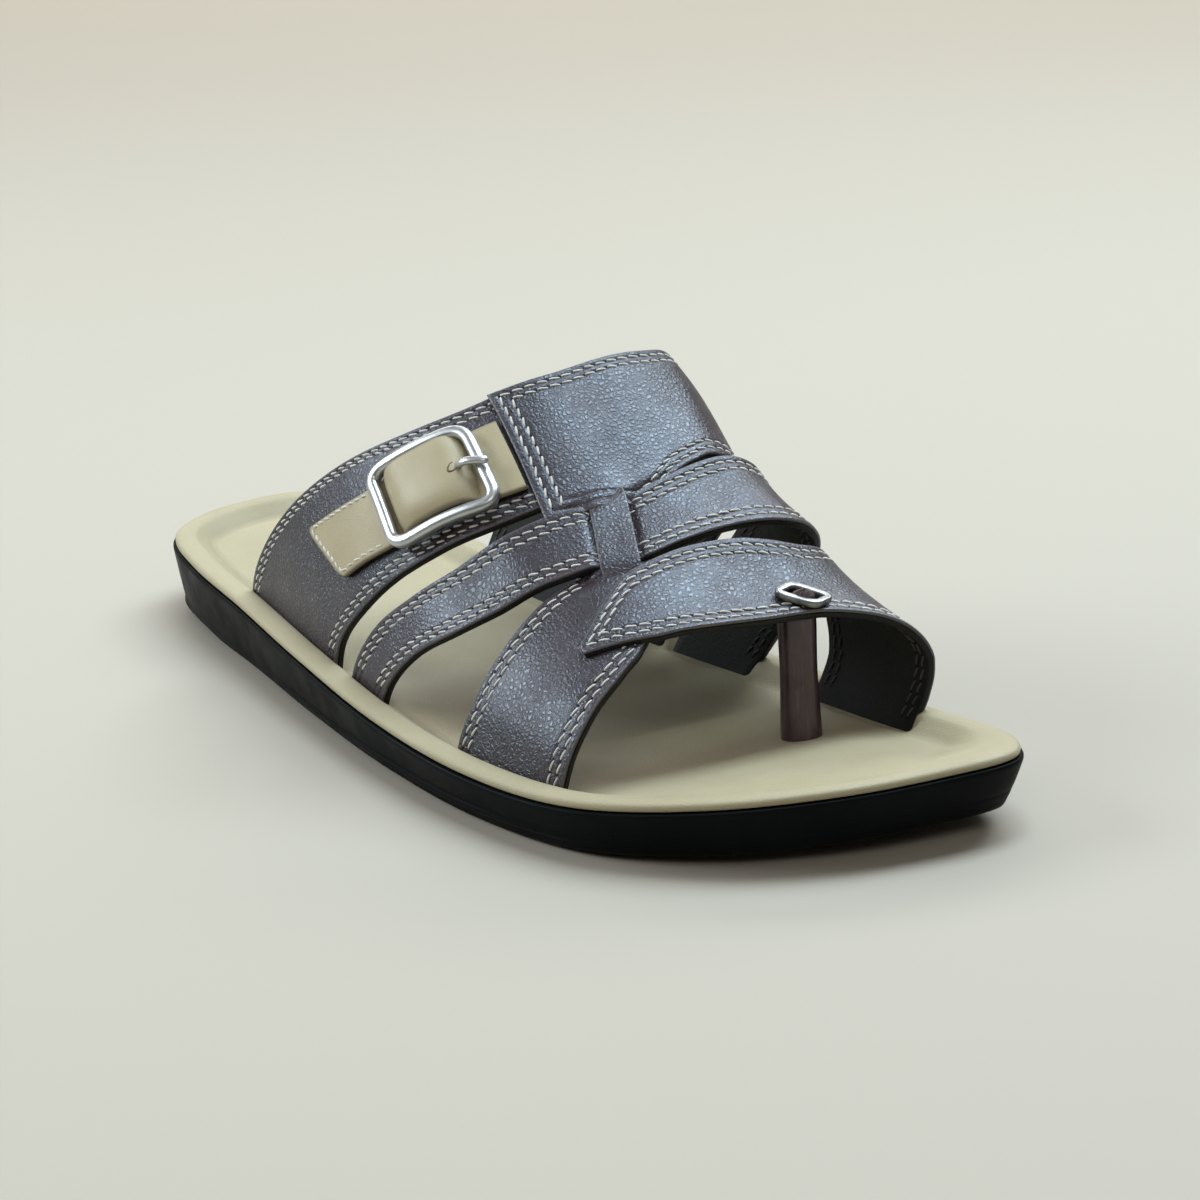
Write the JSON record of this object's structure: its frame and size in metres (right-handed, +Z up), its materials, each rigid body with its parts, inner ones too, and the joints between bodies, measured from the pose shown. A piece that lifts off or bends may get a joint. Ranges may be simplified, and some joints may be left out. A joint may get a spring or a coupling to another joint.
{
  "type": "leather toe-post slipper",
  "caption": "Right slip-on leather slipper with an open back and toe, a strapped upper with a buckle, a toe post, a padded footbed and a moulded sole.",
  "frame": {"origin": "on the floor under the middle of the shoe's box", "axes": "+X to the toe, +Y to the inner side of the foot, +Z up"},
  "size_m": [0.2774, 0.1054, 0.0883],
  "materials": {
    "black_sole": "semi-gloss moulded black",
    "beige_footbed": "smooth matt beige",
    "brown_leather": "grained dark brown with a soft sheen",
    "tan_leather": "smooth tan",
    "bright_steel": "polished"
  },
  "bodies": {
    "root": {"outsole": "black_sole", "footbed": "beige_footbed", "upper": "brown_leather", "buckle_strap": "tan_leather", "buckle_frame": "bright_steel", "buckle_prong": "bright_steel", "toe_post": "brown_leather", "toe_ring": "bright_steel", "toe_post_head": "brown_leather"}
  },
  "joints": []
}
